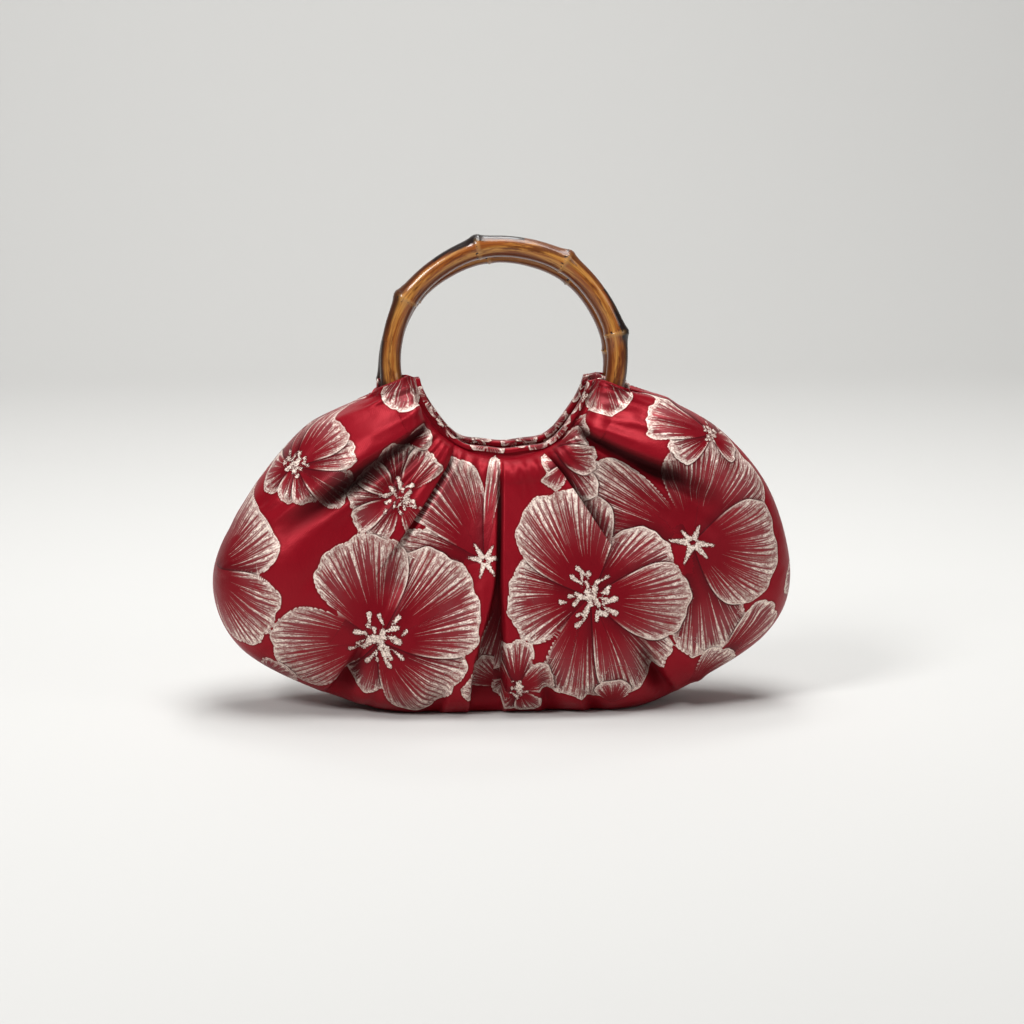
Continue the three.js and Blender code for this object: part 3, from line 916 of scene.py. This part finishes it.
def clothMaterial(name, settings):
    material, net, shader = newMaterial(name)
    group = net.add("ShaderNodeGroup", node_tree=flowersGroup)
    for label, value in settings.items():
        group.inputs[label].default_value = value
    bump = net.add("ShaderNodeBump", {
        "Distance": 1 * mm, "Strength": 0.9, "Height": group.outputs["Height"],
    })
    net.feed(shader["Normal"], bump.outputs[0])
    net.feed(shader["Base Color"], group.outputs["Color"])
    net.feed(shader["Roughness"], group.outputs["Roughness"])
    net.feed(shader["Metallic"], group.outputs["Metallic"])
    shader["Specular IOR Level"].default_value = brocade["specular"]
    return material


brocadeMaterial = clothMaterial("brocade", {})
facingMaterial = clothMaterial("facingBrocade", {"Ground": brocade["facingGround"]})
print("brocade made")


# Front and back panels

def addPanel(name, shape, mirror, flowers):
    nu, nt = shape["outer"].shape[:2]
    regular = np.flatnonzero(shape["fold"] < 0)
    keepU = np.unique(np.concatenate([regular[::panelGrid["coarse"]], [regular[-1]]]))
    keepT = np.unique(np.concatenate([np.arange(0, nt, panelGrid["coarse"]), [nt - 1]]))
    outerIndex = np.arange(nu * nt).reshape(nu, nt)
    innerIndex = nu * nt + np.arange(len(keepU) * len(keepT)).reshape(len(keepU), len(keepT))
    inner = shape["inner"][np.ix_(keepU, keepT)]
    points = np.concatenate([shape["outer"].reshape(-1, 3), inner.reshape(-1, 3)])
    faces = gridFaces(outerIndex) + gridFaces(innerIndex[:, ::-1])
    for fine, coarse in [
        (outerIndex[:, 0], innerIndex[:, 0]), (outerIndex[::-1, -1], innerIndex[::-1, -1]),
        (outerIndex[0, ::-1], innerIndex[0, ::-1]), (outerIndex[-1], innerIndex[-1]),
    ]:
        faces += zipEdges(fine.tolist(), coarse.tolist())
    gores = np.stack(np.broadcast_arrays(shape["mouth"], shape["t"]), -1).reshape(-1, 2)
    marks = stampFlowers(shape["flat"].reshape(-1, 2), findMiddles(shape, flowers), gores, flowers)
    # painted shade in folds and creases goes into the first part of the fold mark
    marks["fold"][:, 0] = shape["shade"].ravel()
    plain = {"bloom": 0.0, "edge": -thread["far"], "cloth": 0.0, "fold": 0.0}
    for key in marks:
        marks[key] = np.concatenate([marks[key], np.full((innerIndex.size, 3), plain[key])])
    marks["cloth"][nu * nt:, :2] = shape["flat"][np.ix_(keepU, keepT)].reshape(-1, 2)
    return addMesh(name, points * [1, mirror, 1], faces, marks)


panelShapes = {}
for side, own in sides.items():
    mirror = own["mirror"]
    shape = panelShape(own)
    panelShapes[side] = shape
    piece = addPanel(side + "Panel", shape, mirror, flowers if side == "front" else mirrored(flowers))
    piece.data.materials.append(brocadeMaterial)
    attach(piece, "root")
    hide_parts(side + "_panel")
    print(piece.name, len(piece.data.polygons), "faces")


# Facings behind the rings and the bound mouth edge

strips = {
    "steps": 150, "facingRows": 26, "facingArc": 52, "facingMiddle": 58, "bandArc": 46, "bendSteps": 13,
    "facingFlowers": {"count": 6, "half": 70, "low": -8, "high": 10, "size": 13, "seed": 31},
    "bandFlowers": {"count": 6, "half": 64, "low": 1, "high": 9, "size": 11, "seed": 41},
}


def stripMesh(name, grids, mirror, flowers):
    # a closed wall from two grids, flowers on its outer side
    outer, inner, flat = grids
    loop = np.concatenate([outer, inner[:, ::-1]], 1)
    index = np.arange(loop.shape[0] * loop.shape[1]).reshape(loop.shape[:2])
    faces = gridFaces(np.concatenate([index, index[:, :1]], 1))
    for cap in (index[0], index[-1]):
        faces += [(cap[i], cap[i + 1], cap[-i - 2], cap[-i - 1]) for i in range(outer.shape[1] - 1)]
    flatLoop = np.concatenate([flat, flat[:, ::-1]], 1).reshape(-1, 2)
    middles = [np.array([flower["x"], flower["z"]]) for flower in flowers]
    marks = stampFlowers(flatLoop, middles, np.zeros((len(flatLoop), 2)), flowers)
    return addMesh(name, loop.reshape(-1, 3) * [1, mirror, 1], faces, marks)


def scatterFlowers(w, mirror):
    pick = np.random.default_rng(w["seed"] + mirror)
    scattered = []
    for i in range(w["count"]):
        x = w["half"] * (2 * (i + pick.uniform(0.2, 0.8)) / w["count"] - 1)
        turn = pick.uniform(0, 360)
        petals = [(turn + 72 * k, w["size"] * pick.uniform(0.75, 1.1), 34) for k in range(5)]
        row = (x, pick.uniform(w["low"], w["high"]), "cluster", w["size"] * 0.3, anyGore, petals)
        scattered.append(dict(zip(flowerColumns, row)))
    return scattered


def facingGrid(own):
    s = np.linspace(0, 1, strips["steps"] + 1)
    angle = np.radians(own["left"] + (ends["right"] - own["left"]) * s)[:, None]
    hem = casing["hem"] - (casing["hem"] - casing["tab"] + cloth["wall"]) * (2 * s[:, None] - 1) ** 4
    edge = mouthRadius(angle) + band["lap"]
    k = np.linspace(0, 1, strips["facingRows"])[None, :]
    r = edge + (hem - edge) * k

    def skin(thick):
        deep = np.maximum(cloth["gap"] / 2 + thick, tunnel(r, angle, own["drop"], casing["clear"] + thick))
        return onRing(roundCorner(angle, r), r, -deep)

    flat = np.broadcast_arrays(angle * strips["facingArc"], r - strips["facingMiddle"])
    return skin(cloth["wall"]), skin(0), np.stack(flat, -1)


def bandGrid(own):
    angle = np.radians(np.linspace(own["left"], ends["right"], strips["steps"] + 1))[:, None]
    inner = mouthRadius(angle)
    outer = np.minimum(band["most"], inner + band["wide"])
    leg = cloth["wall"] + 1.5 * cloth["gap"]

    def skin(thick):
        front = leg + thick
        turn = np.linspace(0, math.pi, strips["bendSteps"])[None, :]
        crown = band["crown"] + (thick - band["thick"])  # the fold is rounded
        low = inner + band["thick"] - thick
        bendR = low + crown * (1 - np.sin(turn))
        bendN = np.where(turn < math.pi / 2, front - crown, crown - front) + crown * np.cos(turn)
        legR = np.linspace(0, 1, 5)[None, :-1] * (low + crown - outer) + outer
        r = np.concatenate([legR, bendR, legR[:, ::-1]], 1)
        n = np.concatenate([0 * legR + front, 0 * low + bendN, 0 * legR - front], 1)
        return onRing(roundCorner(angle, r), r, n), r, n

    top, r, n = skin(band["thick"])
    step = np.hypot(np.diff(r, axis=1), np.diff(n, axis=1))
    walk = np.concatenate([0 * r[:, :1], np.cumsum(step, 1)], 1)
    return top, skin(0)[0], np.stack(np.broadcast_arrays(angle * strips["bandArc"], walk), -1)


for side, own in sides.items():
    mirror = own["mirror"]
    sprigs = scatterFlowers(strips["facingFlowers"], mirror)
    facing = stripMesh(side + "Facing", facingGrid(own), mirror, sprigs)
    facing.data.materials.append(facingMaterial)
    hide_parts(side + "_facing")
    sprigs = scatterFlowers(strips["bandFlowers"], mirror)
    bound = stripMesh(side + "MouthBand", bandGrid(own), mirror, sprigs)
    bound.data.materials.append(brocadeMaterial)
    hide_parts(side + "_mouth_band")
    for piece in (facing, bound):
        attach(piece, "root")
        print(piece.name, len(piece.data.polygons), "faces")


# Bamboo rings, cane with swollen knots

cane = {
    "steps": 576, "sides": 24, "backShift": 400,
    "scorched": (1.0, 0.1, 1.0, 0.6, 0.9, 0.6, 0.7, 0.5),  # how burnt the cane is beside each knot
    "honey": (0.48, 0.21, 0.042, 1), "amber": (0.28, 0.076, 0.011, 1), "brown": (0.095, 0.018, 0.004, 1),
    "burnt": (0.006, 0.003, 0.003, 1), "scar": (0.50, 0.27, 0.09, 1),
    "finish": {"Coat Weight": 0.5, "Coat Roughness": 0.05, "Specular IOR Level": 0.2},
}


def caneMaterial():
    material, net, shader = newMaterial("lacqueredBamboo")
    _, (along, _, knot) = net.mark("cane")
    _, (outward, front, burn) = net.mark("caneFace")

    def fibres(alongBy, aroundBy, detail=2.0, rough=0.5):
        ways = [net.times(along, alongBy), net.times(outward, aroundBy), net.times(front, aroundBy)]
        return net.grain(net.triple(*ways), 1.0, detail, rough)

    streak = fibres(0.03, 1.9, 4.0, 0.6)
    hair = fibres(0.05, 8.0, 3.0, 0.6)
    smear = fibres(0.045, 1.6, 5.0, 0.7)
    blotch = fibres(0.055, 0.9)
    colour = net.mix(net.ease(streak, 0.40, 0.60), cane["honey"], cane["amber"])
    colour = net.mix(net.times(net.ease(hair, 0.5, 0.66), 0.5), colour, cane["brown"])
    colour = net.mix(net.times(net.ease(smear, 0.49, 0.62), 0.85), colour, cane["brown"])
    wander = net.scaled(smear, 0.5, net.minus(outward, 0.25))
    edgeTone = net.times(net.ease(net.calc("ABSOLUTE", wander), 0.42, 0.72), net.ease(blotch, 0.2, 0.42))
    colour = net.mix(net.times(edgeTone, 0.85), colour, cane["brown"])
    reach = net.scaled(smear, 0.7, net.minus(outward, 0.35))
    beside = net.times(net.ease(knot, -1.8, -0.5), net.ease(knot, 5.6, 2.6))
    scorch = net.times(beside, burn, net.ease(reach, 0.38, 0.62))
    scorch = net.calc("MAXIMUM", scorch, net.times(net.ease(reach, 0.6, 0.85), burn))
    colour = net.mix(net.times(scorch, 0.97), colour, cane["burnt"])
    scar = net.times(net.ease(net.calc("ABSOLUTE", knot), 0.5, 0.1), net.ease(outward, 0.9, 0.4))
    colour = net.mix(net.times(scar, 0.45), colour, cane["scar"])
    pitRow = net.ease(net.calc("ABSOLUTE", net.minus(knot, 0.35)), 0.32, 0.1)
    pits = net.times(pitRow, net.ease(fibres(0.4, 5.0, 1.0), 0.55, 0.63))
    net.feed(shader["Base Color"], net.mix(pits, colour, cane["burnt"]))
    net.feed(shader["Roughness"], net.scaled(hair, 0.2, 0.25))
    bump = net.add("ShaderNodeBump", {
        "Distance": 0.6 * mm, "Strength": 0.35, "Height": net.minus(net.times(hair, 0.25), pits),
    })
    net.feed(shader["Normal"], bump.outputs[0])
    for label, value in cane["finish"].items():
        shader[label].default_value = value
    return material


def paintMesh(net, geometry, given, out):
    real = net.add("GeometryNodeRealizeInstances", {0: geometry})
    paint = net.add("GeometryNodeSetMaterial", {
        "Geometry": real.outputs[0], "Material": given["Material"],
    })
    net.feed(out["Mesh"], paint.outputs[0])


def caneTree():
    number, whole = "NodeSocketFloat", "NodeSocketInt"
    net, given, out = newGroup("caneRing", "GeometryNodeTree", [
        ("Radius", number), ("Tube", number), ("Knots", whole), ("First Knot", number),
        ("Knot Spread", number), ("Knot Tall", number), ("Knot Kink", number), ("Bare Kink", number),
        ("Tip", number), ("Place", "NodeSocketVector"), ("Steps", whole), ("Sides", whole),
        ("Material", "NodeSocketMaterial"),
    ], [("Mesh", "NodeSocketGeometry")])

    def hump(top, x):
        return net.calc("DIVIDE", top, net.scaled(x, x, 1.0))

    circle = net.add("GeometryNodeCurvePrimitiveCircle", {
        "Resolution": given["Steps"], "Radius": given["Radius"],
    }, mode="RADIUS")
    turn = net.times(net.add("GeometryNodeSplineParameter").outputs["Factor"], 2 * math.pi)
    phase = net.times(net.minus(turn, given["First Knot"]), given["Knots"])
    phase = net.calc("DIVIDE", phase, 2 * math.pi)
    off = net.calc("ABSOLUTE", net.minus(phase, net.calc("ROUND", phase)))
    arc = net.calc("DIVIDE", net.times(off, 2 * math.pi), given["Knots"])
    away = net.calc("DIVIDE", arc, given["Knot Spread"])
    swell = net.times(hump(1.0, away), 0.75)
    lip = hump(0.35, net.times(away, 4.0))  # raised scar round the knot
    size = net.times(net.calc("ADD", swell, lip), given["Knot Tall"])
    size = net.calc("ADD", net.calc("DIVIDE", size, given["Tube"]), 1.0)
    kink = net.minus(net.calc("DIVIDE", 1.0, net.scaled(away, 0.35, 1.0)), 0.4)
    bare = net.calc("MULTIPLY", net.calc("SINE", turn), 3.0, clamp=True)  # the part above the cloth
    kink = net.times(kink, net.scaled(bare, given["Bare Kink"], 1.0), given["Knot Kink"])
    outBy = net.calc("ADD", net.calc("DIVIDE", kink, given["Radius"]), 1.0)
    spot = net.add("GeometryNodeInputPosition").outputs[0]
    moved = net.add("ShaderNodeVectorMath", {0: spot, "Scale": outBy}, operation="SCALE")
    bent = net.add("GeometryNodeSetPosition", {
        "Geometry": circle.outputs["Curve"], "Position": moved.outputs[0],
    })
    profile = net.add("GeometryNodeCurvePrimitiveCircle", {
        "Resolution": given["Sides"], "Radius": given["Tube"],
    }, mode="RADIUS")
    tube = net.add("GeometryNodeCurveToMesh", {
        "Curve": bent.outputs[0], "Profile Curve": profile.outputs["Curve"], "Scale": size,
    })
    put = net.add("GeometryNodeTransform", {
        "Geometry": tube.outputs[0], "Rotation": net.triple(given["Tip"]), "Translation": given["Place"],
    })
    paintMesh(net, put.outputs[0], given, out)
    return net.tree


def runTree(name, tree, values, start=None):
    holder = addObject(name + "Holder", start or bpy.data.meshes.new(name + "Start"))
    modifier = holder.modifiers.new("nodes", "NODES")
    modifier.node_group = tree
    for item in tree.interface.items_tree:
        if item.in_out == "INPUT" and item.name in values:
            modifier[item.identifier] = values[item.name]
    ready = holder.evaluated_get(bpy.context.evaluated_depsgraph_get())
    mesh = bpy.data.meshes.new_from_object(ready)
    mesh.name = name
    holder.modifiers.remove(modifier)
    bpy.data.objects.remove(holder)
    shadeSmooth(mesh)
    return addObject(name, mesh)


lacquer = caneMaterial()
ringNodes = caneTree()
for side, own in sides.items():
    mirror, drop, first = own["mirror"], own["drop"], own["firstKnot"]
    flip = [1, mirror, 1]
    middle = (ringMiddle - drop * ringUp) * flip
    piece = runTree(side + "Ring", ringNodes, {
        "Radius": ring["radius"] * mm, "Tube": ring["tube"] * mm,
        "Knots": ring["knots"], "First Knot": math.radians(first),
        "Knot Spread": math.radians(ring["knotSpread"]), "Knot Tall": ring["knotShown"] * mm,
        "Knot Kink": ring["knotKink"] * mm, "Bare Kink": ring["bareKink"],
        "Tip": math.pi / 2 - mirror * ring["lean"], "Place": tuple(float(x) for x in middle * mm),
        "Steps": cane["steps"], "Sides": cane["sides"], "Material": lacquer,
    })
    mesh = piece.data
    points = np.empty(len(mesh.vertices) * 3)
    mesh.vertices.foreach_get("co", points)
    rel = points.reshape(-1, 3) / mm - middle
    high, ahead = rel @ (ringUp * flip), -(rel @ (ringAhead * flip))
    turn = np.mod(np.arctan2(high, rel[:, 0]) + math.pi / 2, 2 * math.pi) - math.pi / 2
    around = np.arctan2(ahead, np.hypot(rel[:, 0], high) - ring["radius"])
    phase = (np.degrees(turn) - first) * ring["knots"] / 360
    knot = (phase - np.round(phase)) * 360 / ring["knots"] / ring["knotSpread"]
    length = turn * ring["radius"]
    burn = np.array(cane["scorched"])[np.round(phase).astype(int) % ring["knots"]]
    setMarks(mesh, {
        "cane": np.stack([length + cane["backShift"] * (mirror < 0), around, knot], -1),
        "caneFace": np.stack([np.cos(around), np.sin(around), burn], -1),
    })
    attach(piece, "root")
    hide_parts(side + "_ring")
    print(piece.name, len(mesh.polygons), "faces")


# Stitches along the hems of the tabs

stitch = {
    "length": 2.1, "pitch": 3.0, "thick": 0.32, "inset": 4.5, "raise": 0.12, "twist": 2500,
    "colour": (0.20, 0.012, 0.016, 1), "shade": (0.09, 0.006, 0.01, 1), "rough": 0.6,
}


def stitchTree():
    number = "NodeSocketFloat"
    net, given, out = newGroup("hemStitches", "GeometryNodeTree", [
        ("Path", "NodeSocketGeometry"), ("Pitch", number), ("Length", number), ("Thick", number),
        ("Material", "NodeSocketMaterial"),
    ], [("Mesh", "NodeSocketGeometry")])
    line = net.add("GeometryNodeMeshToCurve", {0: given["Path"]})
    spots = net.add("GeometryNodeCurveToPoints", {
        "Curve": line.outputs[0], "Length": given["Pitch"],
    }, mode="LENGTH").outputs
    bead = net.add("GeometryNodeMeshUVSphere", {"Segments": 6, "Rings": 4, "Radius": 0.5})
    sewn = net.add("GeometryNodeInstanceOnPoints", {
        "Points": spots["Points"], "Instance": bead.outputs["Mesh"], "Rotation": spots["Rotation"],
        "Scale": net.triple(given["Thick"], given["Thick"], given["Length"]),
    })
    paintMesh(net, sewn.outputs[0], given, out)
    return net.tree


def hemPaths(shape, mirror):
    # lines on the cloth a little below the end of each tab
    rows = np.flatnonzero((shape["t"] > 0.02) & (shape["t"] < 0.9))
    half = rows[len(rows) // 3]
    lines = []
    for end, step in ((0, 1), (len(shape["u"]) - 1, -1)):
        walk = np.cumsum(np.linalg.norm(np.diff(shape["outer"][::step, half], axis=0), axis=1))
        column = end + step * (1 + int(np.searchsorted(walk, stitch["inset"])))
        line = shape["outer"][column, rows] + stitch["raise"] * shape["normal"][column, rows]
        lines.append(line * [1, mirror, 1])
    return lines


def sewingMaterial():
    material, net, shader = newMaterial("redSewingThread")
    spot = net.add("ShaderNodeTexCoord").outputs["Object"]
    twist = net.add("ShaderNodeTexNoise", {"Vector": spot, "Scale": stitch["twist"]}).outputs[0]
    net.feed(shader["Base Color"], net.mix(twist, stitch["colour"], stitch["shade"]))
    shader["Roughness"].default_value = stitch["rough"]
    return material


sewing = sewingMaterial()
stitchNodes = stitchTree()
for side, own in sides.items():
    points, edges = [], []
    for line in hemPaths(panelShapes[side], own["mirror"]):
        edges += [(len(points) + i, len(points) + i + 1) for i in range(len(line) - 1)]
        points += (line * mm).tolist()
    path = bpy.data.meshes.new(side + "HemPath")
    path.from_pydata(points, edges, [])
    piece = runTree(side + "HemStitches", stitchNodes, {
        "Pitch": stitch["pitch"] * mm, "Length": stitch["length"] * mm, "Thick": stitch["thick"] * mm,
        "Material": sewing,
    }, path)
    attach(piece, "root")
    print(piece.name, len(piece.data.polygons), "faces")
